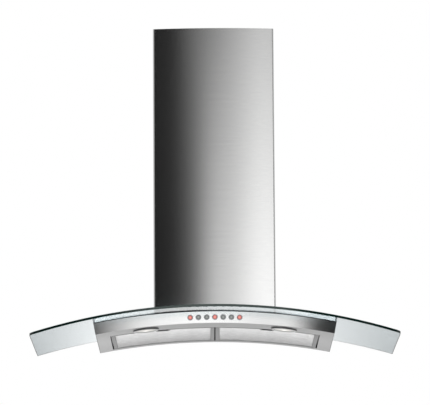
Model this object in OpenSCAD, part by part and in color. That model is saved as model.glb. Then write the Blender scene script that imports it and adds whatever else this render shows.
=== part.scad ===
// Wall-mounted range hood: an arched glass canopy over a shallow arched steel housing,
// with a telescoping chimney, a centrifugal blower and two hinged grease filters.
// The wall is the plane y = 0, the front looks along -Y, and z = 0 is the wall fixing.

/* [Wall fixing] */
// Height of the wall fixing above the underside of the glass
fixing_h = 150; // [140:1:160]
// Distance between the two wall holes
fixing_pitch = 160; // [120:5:180]
// Radius of the wall holes
fixing_hole_r = 3; // [2:0.5:4]

/* [Glass canopy] */
// Width of the glass over its two ends
glass_w = 898; // [780:2:1000]
// Depth of the glass, from its back edge to the middle of its front edge
glass_d = 440; // [425:1:480]
// Thickness of the glass
glass_t = 6; // [5:0.5:8]
// Radius of the arch seen from the front, at the underside of the glass
arch_r = 1611; // [1500:1:2200]
// Radius of the front edge seen from above
glass_bow_r = 3000; // [2000:50:6000]
// Radius of the two front corners
glass_corner_r = 14; // [6:1:30]
// Gap between the back edge of the glass and the wall
glass_wall_gap = 5; // [3:0.5:8]
// Clearance around the blower box in the notch of the glass
notch_gap = 3; // [2:0.5:5]
// Thickness of the rubber seal under the glass
seal_t = 2; // [1.5:0.5:3]
// Width of the rubber seal
seal_w = 10; // [6:1:14]

/* [Housing] */
// Width of the housing over its two ends, at the glass
housing_w = 592; // [572:2:640]
// Depth of the housing, from the wall to the middle of the fascia
housing_d = 371; // [366:1:400]
// Height of the housing and its seal, along the arch radius
housing_h = 30; // [29:0.5:34]
// Radius of the fascia seen from above
fascia_bow_r = 7300; // [5000:100:12000]
// Thickness of the steel sheet
sheet_t = 1.2; // [1:0.1:1.5]
// Width of the flange round the air opening, between housing and blower box
flange_w = 14; // [12:0.5:18]

/* [Filters] */
// Half width of the opening for the two filters
opening_half_w = 257; // [250:1:262]
// Distance from the wall to the back edge of the filter opening
opening_back = 27; // [25:1:32]
// Depth of the strip between the fascia and the filter opening
front_strip = 85; // [84:0.5:92]
// Width of the ledge above the edge of the filter opening
ledge_w = 6; // [5:0.5:8]
// Thickness of a filter
filter_t = 9; // [8:0.5:10]
// Width of the filter's frame
filter_rim = 9; // [7:1:12]
// Gap between the two filters
filter_mid_gap = 3; // [2:0.5:5]
// Gap between a filter and the edge of the opening
filter_gap = 3; // [2.5:0.5:4]
// Gap behind a filter, which its lip bridges
filter_back_gap = 5; // [4:0.5:8]
// Length of the lip that rests on the rear rail
lip_bearing = 4; // [3:0.5:5]
// Width of one slot in the filter's grid
slot_w = 7; // [4:0.5:8]
// Length of one slot in the filter's grid
slot_len = 17; // [10:0.5:20]
// Number of slots across a filter
slots_across = 20; // [6:1:20]
// Number of slots from front to back
slots_deep = 9; // [4:1:9]
// Width of the finger pocket of the latch
pocket_w = 26; // [22:1:30]
// Travel of the latch
latch_travel = 5; // [3:0.5:6]

/* [Lamps] */
// Distance of a lamp from the middle of the hood
lamp_x = 168.7; // [150:0.1:190]
// Distance of a lamp behind the fascia
lamp_in = 52.5; // [48:0.5:53]
// Outer radius of the lamp bezel
bezel_r = 32; // [30:0.5:32]
// Height of the bezel below the housing
bezel_h = 4; // [2:0.5:6]
// Radius of the hole in the housing for a lamp
lamp_hole_r = 28; // [27:0.5:28.5]
// Radius of the lamp lens
lens_r = 24.5; // [20:0.5:25]
// Height of the lamp holder above the underside
holder_h = 20; // [18:0.5:24]
// Radius of the lamp's bulb
bulb_r = 4.3; // [3.5:0.1:4.4]

/* [Push buttons] */
// Number of push buttons
button_n = 7; // [3:2:7]
// Distance from one button to the next
button_pitch = 20; // [18:0.5:22]
// Radius of a button
button_r = 6.6; // [5:0.1:7.5]
// How far a button stands out of the fascia
button_proud = 1.8; // [1.5:0.1:2.4]
// Travel of a button when it is pushed
button_travel = 1.5; // [1:0.1:1.6]
// Radius of a button's stem
stem_r = 2.5; // [2:0.1:3]
// Depth of the block that guides the buttons
guide_d = 12; // [11:0.5:14]
// Space between the guide block and the control board
board_gap = 7; // [6.5:0.5:9]

/* [Chimney] */
// Width of the chimney
chimney_w = 300; // [300:1:320]
// Depth of the chimney, from the wall to the middle of its front
chimney_d = 284; // [284:1:300]
// Height of the chimney's top above the underside of the glass
chimney_h = 721; // [560:1:900]
// Radius of the chimney's convex front
chimney_bow_r = 1130; // [900:10:3000]
// Outer radius of the bends at the front corners
chimney_corner_r = 4; // [3:0.5:8]
// Gap between the outer and the inner chimney
chimney_gap = 0.6; // [0.4:0.1:1]
// Height of the inner chimney
inner_h = 520; // [460:5:530]
// Width of the folded edge at the wall
back_fold = 13; // [8:1:16]
// Height of the inner chimney's wall bracket
bracket_h = 26; // [22:1:30]
// Distance between the wall holes of that bracket
bracket_pitch = 80; // [60:5:90]
// Reach of that bracket's two arms from the wall
bracket_arm = 30; // [26:1:36]
// Number of air slots in each side of the inner chimney
vent_n = 8; // [4:1:10]
// Height of one air slot
vent_h = 4; // [3:0.5:6]

/* [Blower] */
// Width of the blower box
box_w = 250; // [250:1:256]
// Depth of the blower box
box_d = 240; // [240:1:244]
// Gap between the blower box and the wall
box_gap = 12; // [12:0.5:14]
// Height of the blower box above the wall fixing
box_top = 70; // [70:1:76]
// Distance of the blower's axis from the wall
blower_d = 110.5; // [108:0.5:114]
// Depth of the blower's axis below the top of its box
blower_drop = 95; // [93:0.5:97]
// Radius of the impeller
impeller_r = 70; // [60:1:70]
// Width of the impeller
impeller_w = 100; // [80:2:110]
// Number of impeller blades
blade_n = 36; // [24:1:40]
// Radial length of an impeller blade
blade_len = 9; // [7:0.5:12]
// Thickness of an impeller blade
blade_t = 0.9; // [0.7:0.1:1.5]
// Radius of the scroll at its tongue
scroll_min_r = 75; // [75:1:78]
// Radius of the scroll where it leaves upwards
scroll_max_r = 108; // [104:1:112]
// Width of the scroll
scroll_w = 130; // [120:2:134]
// Thickness of the scroll's walls
scroll_t = 2; // [1.5:0.5:2.5]
// Radius of the motor
motor_r = 42; // [34:1:46]
// Length of the motor
motor_len = 56; // [44:1:58]
// Width of the clamp ring round the motor
clamp_w = 20; // [14:1:24]
// Radius of the motor shaft
shaft_r = 4; // [3:0.5:5]

/* [Air outlet] */
// Outer radius of the outlet collar
collar_r = 75; // [60:1:75]
// Height of the outlet collar
collar_h = 60; // [50:1:70]
// Wall of the outlet collar
collar_t = 1.5; // [1.2:0.1:2]
// Height of the damper above the blower box
damper_h = 25; // [22:0.5:30]
// Radius of the damper's pin
damper_pin_r = 2; // [1.5:0.1:2.5]
// Thickness of a damper flap
flap_t = 1; // [0.8:0.1:1.5]

/* [Electrics] */
// Radius of the cable hole in the gland
gland_hole_r = 4; // [3:0.5:5]
// Radius of the capacitor
capacitor_r = 14; // [12:1:16]
// Height of the capacitor
capacitor_h = 46; // [30:1:55]

/* [Hidden] */

// General clearance between pieces that touch
fit = 0.3;
// Radial clearance of a pin or shaft that turns
running = 0.05;
// Clearance of a screw's shank in its hole
screw_fit = 0.2;
// A length that reaches past everything
far = 1200;
// Sides of the large arcs, and of ordinary round parts
arch_fn = 1440;
round_fn = 64;

glass_z = -fixing_h;
arch_z = glass_z - arch_r;
top_r = arch_r - seal_t;
bottom_r = arch_r - housing_h;
housing_a = asin(housing_w / 2 / arch_r);
wall_a = asin(sheet_t / bottom_r);
fit_a = asin(fit / bottom_r);
air_w = box_w - 2 * flange_w;
opening_front = housing_d - front_strip;
lamp_d = housing_d - lamp_in;
filter_back = opening_back + filter_back_gap;
filter_front = opening_front - filter_gap;
filter_in_x = filter_mid_gap / 2;
filter_out_x = opening_half_w - filter_gap - fit;
filter_mid_x = (filter_in_x + filter_out_x) / 2;
ledge_r = bottom_r + filter_t + 0.5;
chimney_top = glass_z + chimney_h;
inner_w = chimney_w - 2 * sheet_t - 2 * chimney_gap;
inner_d = chimney_d - sheet_t - chimney_gap;
inner_gap = sheet_t + chimney_gap;
inner_bottom = chimney_top - inner_h;
box_front = box_gap + box_d;
tongue_a = 100;
blower_z = box_top - blower_drop;
outlet_in = scroll_min_r * cos(tongue_a);
collar_d = blower_d + (scroll_max_r + outlet_in) / 2;
damper_z = box_top + damper_h;
button_z = glass_z - (seal_t + housing_h) / 2;

steel_colour = "#c8cacb";
dark_colour = "#3c3f41";
zinc_colour = "#a9adb0";
plastic_colour = "#2b2d2f";

// Height of the arch of radius r at x sideways
function arch_h(x, r) = arch_z + sqrt(r * r - x * x);

// Carries a front-view outline from one distance off the wall to another
module along_depth(front, back) {
    translate([0, -back, 0])
        rotate([90, 0, 0])
            linear_extrude(height = front - back)
                children();
}

// Carries a side-view outline, drawn as distance off the wall and height, from x0 to x1
module across(x0, x1) {
    translate([x1, 0, 0])
        rotate([90, 0, -90])
            linear_extrude(height = x1 - x0)
                children();
}

// Block from x0 to x1, between two distances off the wall and two heights
module block(x0, x1, back, front, z0, z1) {
    translate([x0, -front, z0])
        cube([x1 - x0, front - back, z1 - z0]);
}

// Ring between two radii of the arch, upper half
module arch_ring(r_out, r_in) {
    translate([0, arch_z])
        difference() {
            circle(r = r_out, $fn = arch_fn);
            circle(r = r_in, $fn = arch_fn);
        }
}

// Part of the arch between two places sideways, with upright ends
module arch_strip(r_out, r_in, x0, x1) {
    intersection() {
        arch_ring(r_out, r_in);
        translate([x0, arch_z])
            square([x1 - x0, 2 * r_out]);
    }
}

// Part of the arch within an angle each side of the middle, with radial ends
module arch_wedge(r_out, r_in, a) {
    reach = 1.2 * r_out;
    intersection() {
        arch_ring(r_out, r_in);
        translate([0, arch_z])
            polygon([[0, 0], [reach * sin(a), reach * cos(a)], [-reach * sin(a), reach * cos(a)]]);
    }
}

// Puts its children upright on the arch: their x = 0 is at x sideways on radius r, their z = 0 on r
module on_arch(x, d, r) {
    translate([0, -d, arch_z])
        rotate([0, asin(x / r), 0])
            translate([0, 0, r])
                children();
}

// Plan outline with a straight back at y = 0, straight sides and a bowed front with round corners
module bowed_outline(width, depth, bow_r, corner_r) {
    half = width / 2;
    bow_y = bow_r - depth;
    fillet_x = half - corner_r;
    fillet_y = bow_y - sqrt(pow(bow_r - corner_r, 2) - pow(fillet_x, 2));
    a = asin(fillet_x / (bow_r - corner_r));
    reach = 3 * corner_r;
    difference() {
        intersection() {
            translate([-half, -depth])
                square([width, depth]);
            translate([0, bow_y])
                circle(r = bow_r, $fn = 2 * arch_fn);
        }
        for (side = [-1, 1])
            scale([side, 1])
                difference() {
                    polygon([
                        [fillet_x, fillet_y], [half + reach, fillet_y], [half + reach, fillet_y - reach],
                        [fillet_x + reach * sin(a), fillet_y - reach * cos(a)]
                    ]);
                    translate([fillet_x, fillet_y])
                        circle(r = corner_r, $fn = round_fn);
                }
    }
}

// Everything behind a bowed front, as wide as the model
module behind_bow(depth, bow_r) {
    translate([0, 0, glass_z - 150])
        linear_extrude(height = 300)
            intersection() {
                translate([-far / 2, -depth])
                    square([far, depth]);
                translate([0, bow_r - depth])
                    circle(r = bow_r, $fn = 4 * arch_fn);
            }
}

// Screw with a domed head on z = 0 and its shank below
module screw(r, length) {
    rotate_extrude($fn = round_fn)
        polygon([
            [0, -length], [r, -length], [r, 0], [2 * r, 0], [1.9 * r, 0.5 * r], [1.4 * r, 1.0 * r],
            [0.7 * r, 1.25 * r], [0, 1.3 * r]
        ]);
}

// Places of the screws that hold the glass, and of those that hold the blower box
glass_screw_x = box_w / 2 + notch_gap + 9;
glass_screw_d = [40, 240];
box_screw_x = (box_w - flange_w) / 2;
box_screw_d = [60, 205];
glass_screw_r = 2.5;
box_screw_r = 2;
glass_hole_r = 5;

module glass_canopy() {
    color("#9fb9b6", 0.45)
        difference() {
            intersection() {
                along_depth(far / 2, 0)
                    arch_strip(arch_r + glass_t, arch_r, -glass_w / 2 - 10, glass_w / 2 + 10);
                translate([0, -glass_wall_gap, glass_z - 150])
                    linear_extrude(height = 300)
                        bowed_outline(glass_w, glass_d, glass_bow_r, glass_corner_r);
            }
            block(-box_w / 2 - notch_gap, box_w / 2 + notch_gap, -1, box_front + notch_gap,
                  glass_z - 60, glass_z + 60);
            for (side = [-1, 1], d = glass_screw_d)
                on_arch(side * glass_screw_x, d, arch_r)
                    cylinder(r = glass_hole_r, h = 6 * glass_t, center = true, $fn = round_fn);
        }
}

module glass_seal() {
    inner_a = housing_a - asin(seal_w / arch_r);
    color("#1c1d1e")
        union() {
            difference() {
                intersection() {
                    along_depth(housing_d, glass_wall_gap)
                        arch_wedge(arch_r - 0.05, top_r + 0.05, housing_a);
                    behind_bow(housing_d - 1, fascia_bow_r);
                }
                intersection() {
                    along_depth(housing_d, -1)
                        arch_wedge(arch_r + 1, top_r - 1, inner_a);
                    behind_bow(housing_d - 1 - seal_w, fascia_bow_r);
                }
            }
            for (side = [-1, 1], d = glass_screw_d)
                on_arch(side * glass_screw_x, d, arch_r)
                    translate([0, 0, 0.05 - seal_t])
                        difference() {
                            cylinder(r = 8, h = seal_t - 0.1, $fn = round_fn);
                            translate([0, 0, -1])
                                cylinder(r = glass_screw_r + screw_fit, h = 2 * seal_t + 2, $fn = round_fn);
                        }
        }
}

module canopy_housing() {
    color(steel_colour)
        difference() {
            intersection() {
                along_depth(housing_d, 0)
                    arch_wedge(top_r, bottom_r, housing_a);
                behind_bow(housing_d - sheet_t - 0.1, fascia_bow_r);
            }
            along_depth(housing_d + 1, sheet_t)
                arch_wedge(top_r - sheet_t, bottom_r - 1, housing_a - wall_a);
            block(-air_w / 2, air_w / 2, box_gap + flange_w, box_front - flange_w, glass_z - 25, glass_z + 25);
            for (side = [-1, 1], d = glass_screw_d)
                on_arch(side * glass_screw_x, d, arch_r)
                    cylinder(r = glass_screw_r + screw_fit, h = 20 * sheet_t, center = true, $fn = round_fn);
            for (side = [-1, 1], d = box_screw_d)
                on_arch(side * box_screw_x, d, top_r)
                    cylinder(r = box_screw_r + screw_fit, h = 8 * sheet_t, center = true, $fn = round_fn);
        }
}

// Place of button number i, counted from the left
function button_x(i) = (i - (button_n + 1) / 2) * button_pitch;
function button_h(i) = button_z - (arch_h(0, arch_r) - arch_h(button_x(i), arch_r));

// Depth of the fascia's front face x sideways
function fascia_face(x) = housing_d - fascia_bow_r + sqrt(fascia_bow_r * fascia_bow_r - x * x);

module at_button(i, depth) {
    translate([button_x(i), -depth, button_h(i)])
        rotate([-90, 0, 0])
            children();
}

module control_fascia() {
    color(steel_colour)
        difference() {
            intersection() {
                along_depth(housing_d + 1, housing_d - 60)
                    arch_wedge(top_r, bottom_r, housing_a);
                behind_bow(housing_d, fascia_bow_r);
            }
            behind_bow(housing_d - sheet_t, fascia_bow_r);
            for (i = [1 : button_n])
                at_button(i, housing_d + 5)
                    cylinder(r = button_r + 0.3, h = 10, $fn = round_fn);
        }
}

// The pan below the housing, with its plate and the folded edge of the opening
module underside_panel() {
    pan_a = housing_a - wall_a - fit_a;
    pan_front = housing_d - sheet_t - fit;
    color(steel_colour)
        difference() {
            union() {
                difference() {
                    intersection() {
                        along_depth(housing_d, sheet_t + fit)
                            arch_wedge(bottom_r + 10, bottom_r, pan_a);
                        behind_bow(pan_front, fascia_bow_r);
                    }
                    intersection() {
                        along_depth(housing_d, 2 * sheet_t + fit)
                            arch_wedge(bottom_r + 20, bottom_r + sheet_t, pan_a - wall_a);
                        behind_bow(pan_front - sheet_t, fascia_bow_r);
                    }
                }
                along_depth(opening_front + sheet_t, opening_back)
                    arch_strip(ledge_r - 0.1, bottom_r, -opening_half_w - sheet_t, opening_half_w + sheet_t);
            }
            along_depth(opening_front, opening_back)
                arch_strip(ledge_r + 1, bottom_r - 1, -opening_half_w, opening_half_w);
            along_depth(opening_back + 1, opening_back - 1)
                arch_strip(ledge_r + 1, bottom_r + sheet_t, -opening_half_w, opening_half_w);
            for (side = [-1, 1])
                on_arch(side * lamp_x, lamp_d, bottom_r)
                    cylinder(r = lamp_hole_r, h = 10, center = true, $fn = round_fn);
            // relief so that the board's block stands on the plate and not on the front fold
            block(-button_n * button_pitch / 2 - 8, button_n * button_pitch / 2 + 8,
                  housing_d - 40, housing_d, glass_z - housing_h + sheet_t, glass_z);
        }
}

// Ledge on the folded edge, which the closed filters meet at their front and sides
module filter_ledge() {
    color(steel_colour)
        difference() {
            along_depth(opening_front + sheet_t, opening_back + 1)
                arch_strip(ledge_r + sheet_t, ledge_r, -opening_half_w - sheet_t, opening_half_w + sheet_t);
            along_depth(opening_front - ledge_w, opening_back - 1)
                arch_strip(ledge_r + 2 * sheet_t, ledge_r - 1, -opening_half_w + ledge_w, opening_half_w - ledge_w);
        }
}

// Bar above the gap between the filters, from the front ledge to a foot on the rear rail
module centre_bar() {
    half = 8;
    inner_edge = opening_front - ledge_w - fit;
    foot = opening_back - 6;
    color(zinc_colour)
        union() {
            along_depth(inner_edge, foot - 7)
                arch_strip(ledge_r + sheet_t, ledge_r, -half, half);
            along_depth(foot, foot - 7)
                arch_strip(ledge_r + sheet_t, bottom_r + sheet_t + 0.1, -half, half);
            along_depth(opening_front + sheet_t, inner_edge - fit)
                arch_strip(ledge_r + 2 * sheet_t + 0.1, ledge_r + sheet_t + 0.1, -half, half);
            along_depth(inner_edge, inner_edge - 6)
                arch_strip(ledge_r + 2 * sheet_t + 0.1, ledge_r, -half, half);
        }
}

// Block that guides the seven buttons behind the fascia
switch_back = housing_d - sheet_t - guide_d;
board_back = switch_back - board_gap;
module switch_housing() {
    half = button_n * button_pitch / 2 + 6;
    front = fascia_face(half) - sheet_t - 0.2;
    z0 = glass_z - housing_h + sheet_t + 0.1;
    z1 = glass_z - seal_t - sheet_t - 3;
    color(plastic_colour)
        difference() {
            block(-half, half, board_back - 2, front, z0, z1);
            block(-half + 5, half - 5, board_back - 3, switch_back, z0 - 1, z1 + 1);
            block(-half + 2.5, half - 2.5, board_back, board_back + 1.6, z0 - 1, z1 + 1);
            for (i = [1 : button_n]) {
                at_button(i, housing_d)
                    cylinder(r = button_r + 1.2, h = 7.4, $fn = round_fn);
                at_button(i, housing_d)
                    cylinder(r = stem_r + running, h = 30, $fn = round_fn);
            }
        }
}

module control_board() {
    half = button_n * button_pitch / 2 + 3.3;
    z0 = glass_z - housing_h + sheet_t + 1.5;
    z1 = glass_z - seal_t - sheet_t - 4;
    color("#2f6b3c")
        union() {
            block(-half, half, board_back + 0.1, board_back + 1.5, z0, z1);
            for (i = [1 : button_n])
                translate([button_x(i) - 3, -board_back - 4, button_h(i) - 3])
                    cube([6, 3, 6]);
        }
}

// Push button: cap, retaining flange and stem
module button(i) {
    lit = i == 1 || i == (button_n + 1) / 2 || i == button_n;
    face = fascia_face(button_x(i));
    cap = button_proud + sheet_t + 0.9;
    color(lit ? "#d6453f" : "#8d9092")
        translate([button_x(i), -face - button_proud, button_h(i)])
            rotate([-90, 0, 0])
                rotate_extrude($fn = round_fn)
                    polygon([
                        [0, 0.5], [button_r - 1.8, 0.35], [button_r - 1.2, 0], [button_r - 0.6, 0],
                        [button_r - 0.15, 0.15], [button_r, 0.6], [button_r, cap],
                        [button_r + 0.9, cap], [button_r + 0.9, cap + 1.2], [stem_r, cap + 1.2],
                        [stem_r, button_proud + face - board_back - 4 - button_travel - fit],
                        [0, button_proud + face - board_back - 4 - button_travel - fit]
                    ]);
}

module at_lamp(side) {
    on_arch(side * lamp_x, lamp_d, bottom_r)
        children();
}

// Turned bezel: a rounded flange below the pan and a neck through its hole
module lamp_bezel(side) {
    neck_r = lamp_hole_r - 0.15;
    seat = -bezel_r * bezel_r / bottom_r / 2 - 0.05;
    color("#b4b7b9")
        at_lamp(side)
            rotate_extrude($fn = 2 * round_fn)
                polygon(concat(
                    [[neck_r, seat], [bezel_r, seat], [bezel_r, -bezel_h + 2]],
                    [for (a = [0 : 15 : 90]) [bezel_r - 2 + 2 * cos(a), -bezel_h + 2 - 2 * sin(a)]],
                    [[lens_r + 1, -bezel_h], [lens_r, -bezel_h + 1], [lens_r, -bezel_h + 1.6],
                     [lens_r + 1, -bezel_h + 1.6], [lens_r + 1, 7], [neck_r, 7]]
                ));
}

// Shallow domed lens held behind the bezel's lip
module lamp_lens(side) {
    seat = -bezel_h + 1.7;
    dome = 1.2;
    dome_r = (lens_r * lens_r + dome * dome) / (2 * dome);
    color("#f4f2ea", 0.8)
        at_lamp(side)
            rotate_extrude($fn = 2 * round_fn)
                polygon(concat(
                    [for (k = [0 : 6]) let (x = (lens_r - 0.6) * k / 6)
                        [x, seat - dome + dome_r - sqrt(dome_r * dome_r - x * x)]],
                    [[lens_r + 0.9, seat], [lens_r + 0.9, seat + 2], [0, seat + 2]]
                ));
}

// Holder with its reflector bowl, open towards the lens
module lamp_holder(side) {
    holder_r = lens_r + 0.8;
    z0 = -bezel_h + 3.9;
    bowl_r = lens_r - 8.5;
    color("#d8d9da")
        at_lamp(side)
            rotate_extrude($fn = 2 * round_fn)
                polygon([
                    [holder_r, z0], [holder_r, 0.7 * holder_h], [bowl_r, holder_h], [bulb_r + 0.2, holder_h],
                    [bulb_r + 0.2, 0.55 * holder_h], [bowl_r - 6, 0.52 * holder_h], [bowl_r, 0.41 * holder_h],
                    [bowl_r + 5, 0.22 * holder_h], [holder_r - 1.6, z0]
                ]);
}

module lamp_bulbs() {
    color("#f8f4e4")
        for (side = [-1, 1])
            at_lamp(side)
                translate([0, 0, 3])
                    rotate_extrude($fn = round_fn)
                        polygon([
                            [0, 0], [0.46 * bulb_r, 0.5], [0.84 * bulb_r, 2], [bulb_r, 4.5],
                            [bulb_r, holder_h - 3.5], [0, holder_h - 3.5]
                        ]);
}

module lamp_transformer() {
    long = 90;
    wide = 22;
    high = 18;
    groove = 3;
    color(plastic_colour)
        on_arch(housing_w / 2 - 20, 150, bottom_r)
            translate([-12, -long / 2, sheet_t + 0.1])
                difference() {
                    cube([wide, long, high]);
                    for (y = [8, long - 8 - groove])
                        translate([-1, y, high - 6])
                            cube([wide + 2, groove, high]);
                }
}

// Sizes of the latch and of its space in a filter's frame
latch_plate = 11.7;
pocket_d = latch_plate + latch_travel + 1.3;
pocket_h = 6.5;
tongue_half = 6;
tongue_gap = 1.2;

module filter_pocket_block(grow) {
    translate([-pocket_w / 2 - 4 - grow, -filter_front, 0])
        cube([pocket_w + 8 + 2 * grow, pocket_d + 7 + grow, filter_t]);
}

module at_filter(side) {
    on_arch(side * filter_mid_x, 0, bottom_r)
        children();
}

module filter_frame(side) {
    groove = 5;
    lip = 1.2;
    x0 = side > 0 ? filter_in_x : -filter_out_x;
    x1 = side > 0 ? filter_out_x : -filter_in_x;
    color("#bfc2c4")
        difference() {
            union() {
                difference() {
                    along_depth(filter_front, filter_back)
                        arch_strip(bottom_r + filter_t, bottom_r, x0, x1);
                    along_depth(filter_front - filter_rim, filter_back + filter_rim)
                        arch_strip(bottom_r + 2 * filter_t, bottom_r - 1, x0 + filter_rim, x1 - filter_rim);
                }
                along_depth(filter_back + 1, opening_back - lip_bearing)
                    arch_strip(bottom_r + sheet_t + fit + lip, bottom_r + sheet_t + fit, x0, x1);
                at_filter(side)
                    intersection() {
                        filter_pocket_block(0);
                        translate([-50, -filter_front + 0.01, 0])
                            cube([100, 40, filter_t - 0.3]);
                    }
            }
            difference() {
                along_depth(filter_front - filter_rim + groove, filter_back + filter_rim - groove)
                    arch_strip(bottom_r + filter_t - lip, bottom_r + lip,
                               x0 + filter_rim - groove, x1 - filter_rim + groove);
                at_filter(side)
                    translate([0, 0, -1])
                        scale([1, 1, 2])
                            filter_pocket_block(0);
            }
            at_filter(side) {
                translate([-pocket_w / 2, -filter_front + 4, -3])
                    cube([pocket_w, pocket_d, pocket_h + 3]);
                translate([-tongue_half - 0.2, -filter_front - 1, 2.8])
                    cube([2 * tongue_half + 0.4, 6, 3.4]);
            }
        }
}

// Cassette of two slotted grids joined round their edge, which holds the mesh layers
module filter_mesh(side) {
    skin = 1;
    band = 9;
    groove = 4.7;
    x0 = side > 0 ? filter_in_x : -filter_out_x;
    x1 = side > 0 ? filter_out_x : -filter_in_x;
    clear_w = x1 - x0 - 2 * filter_rim;
    clear_d = filter_front - filter_back - 2 * filter_rim;
    color("#d2d4d5")
        difference() {
            along_depth(filter_front - filter_rim + groove, filter_back + filter_rim - groove)
                arch_strip(bottom_r + filter_t - 1.5, bottom_r + 1.5,
                           x0 + filter_rim - groove, x1 - filter_rim + groove);
            difference() {
                along_depth(filter_front - filter_rim + groove - band, filter_back + filter_rim - groove + band)
                    arch_strip(bottom_r + filter_t - 1.5 - skin, bottom_r + 1.5 + skin,
                               x0 + filter_rim - groove + band, x1 - filter_rim + groove - band);
                at_filter(side)
                    translate([0, 0, -1])
                        scale([1, 1, 2])
                            filter_pocket_block(skin + 0.3);
            }
            at_filter(side)
                translate([0, 0, -1])
                    scale([1, 1, 2])
                        filter_pocket_block(0.3);
            for (i = [0 : slots_across - 1], j = [0 : slots_deep - 1])
                let (x = x0 + filter_rim + clear_w * (i + 0.5) / slots_across,
                     d = filter_back + filter_rim + clear_d * (j + 0.5) / slots_deep)
                    block(x - slot_w / 2, x + slot_w / 2, d - slot_len / 2, d + slot_len / 2,
                          arch_h(filter_out_x, bottom_r) - 2, glass_z);
        }
}

// Sliding latch: a finger plate with a thumb edge, and a tongue through the frame
module filter_latch(side) {
    color("#6d7072")
        at_filter(side)
            union() {
                difference() {
                    translate([-pocket_w / 2 + 0.3, -filter_front + 4.3, 0.8])
                        cube([pocket_w - 0.6, latch_plate, pocket_h - 1.1]);
                    translate([-pocket_w / 2 - 1, -filter_front + 6.5, -1])
                        cube([pocket_w + 2, latch_plate - 4.4, 4]);
                }
                translate([-tongue_half, -opening_front + tongue_gap, 3])
                    cube([2 * tongue_half, opening_front - filter_front - tongue_gap + 5, 3]);
            }
}

// Sheet of the chimney in plan, with folded edges at the wall
module chimney_section(width, depth, bow_r, corner_r, back) {
    translate([0, -back])
        difference() {
            bowed_outline(width, depth, bow_r, corner_r);
            translate([0, -sheet_t])
                bowed_outline(width - 2 * sheet_t, depth - 2 * sheet_t, bow_r - sheet_t, corner_r - sheet_t);
            translate([-width / 2 + back_fold, -2 * sheet_t])
                square([width - 2 * back_fold, 3 * sheet_t]);
        }
}

module chimney_lower() {
    color(steel_colour)
        difference() {
            translate([0, 0, glass_z - 40])
                linear_extrude(height = chimney_h + 40)
                    chimney_section(chimney_w, chimney_d, chimney_bow_r, chimney_corner_r, 0);
            along_depth(far, -1)
                translate([0, arch_z])
                    circle(r = arch_r + glass_t + 0.2, $fn = arch_fn);
        }
}

bracket_z = chimney_top - bracket_h / 2 - 17;
bracket_screw_r = 2;
// Air slots of the inner chimney, below its bracket
vent_top = bracket_z - bracket_h / 2 - 17;
module chimney_upper() {
    color(steel_colour)
        difference() {
            translate([0, 0, inner_bottom])
                linear_extrude(height = inner_h)
                    chimney_section(inner_w, inner_d - inner_gap, chimney_bow_r, chimney_corner_r - sheet_t,
                                    inner_gap);
            for (k = [0 : vent_n - 1])
                block(-chimney_w, chimney_w, 80, 200, vent_top - 2.5 * vent_h * k - vent_h,
                      vent_top - 2.5 * vent_h * k);
            for (side = [-1, 1])
                bracket_screw_hole(side);
        }
}

module bracket_screw_hole(side) {
    translate([side * (inner_w / 2 + 0.01), -18, bracket_z])
        rotate([0, side * 90, 0])
            translate([0, 0, -1.5 * bracket_screw_r])
                cylinder(r1 = bracket_screw_r + 0.1, r2 = 2.5 * bracket_screw_r, h = 1.5 * bracket_screw_r,
                         $fn = round_fn);
    translate([side * inner_w / 2, -18, bracket_z])
        rotate([0, side * 90, 0])
            cylinder(r = bracket_screw_r + 0.1, h = 24, center = true, $fn = round_fn);
}

// Countersunk screws, flush with the inner chimney
module bracket_screws() {
    color(zinc_colour)
        for (side = [-1, 1])
            translate([side * inner_w / 2, -18, bracket_z])
                rotate([0, side * 90, 0])
                    rotate_extrude($fn = round_fn)
                        polygon([
                            [0, -9], [bracket_screw_r, -9], [bracket_screw_r, -1.5 * bracket_screw_r],
                            [2.5 * bracket_screw_r - 0.15, -0.05], [0, -0.05]
                        ]);
}

module upper_wall_bracket() {
    half = inner_w / 2 - sheet_t - 0.1;
    t = 2;
    foot = bracket_pitch / 2 + 20;
    color(zinc_colour)
        difference() {
            union() {
                block(-half, half, inner_gap + sheet_t + 0.2, inner_gap + sheet_t + 0.2 + t,
                      bracket_z - bracket_h / 2, bracket_z + bracket_h / 2);
                for (side = [-1, 1])
                    block(side > 0 ? half - t : -half, side > 0 ? half : -half + t,
                          inner_gap + sheet_t + 0.2, bracket_arm,
                          bracket_z - bracket_h / 2, bracket_z + bracket_h / 2);
                block(-foot, foot, 0, inner_gap + sheet_t + 0.3, bracket_z - bracket_h / 2,
                      bracket_z + bracket_h / 2);
            }
            for (side = [-1, 1]) {
                bracket_screw_hole(side);
                translate([side * bracket_pitch / 2, 1, bracket_z])
                    rotate([90, 0, 0])
                        cylinder(r = fixing_hole_r, h = 12, $fn = round_fn);
            }
        }
}

// Small stops on the outer chimney's sides, under the inner chimney
module chimney_stops() {
    thick = 5;
    color(plastic_colour)
        for (side = [-1, 1], share = [0.21, 0.74])
            block(side > 0 ? chimney_w / 2 - sheet_t - thick : -chimney_w / 2 + sheet_t,
                  side > 0 ? chimney_w / 2 - sheet_t : -chimney_w / 2 + sheet_t + thick,
                  share * chimney_d, share * chimney_d + 3 * thick,
                  inner_bottom - fit - 2 * thick, inner_bottom - fit);
}

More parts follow.
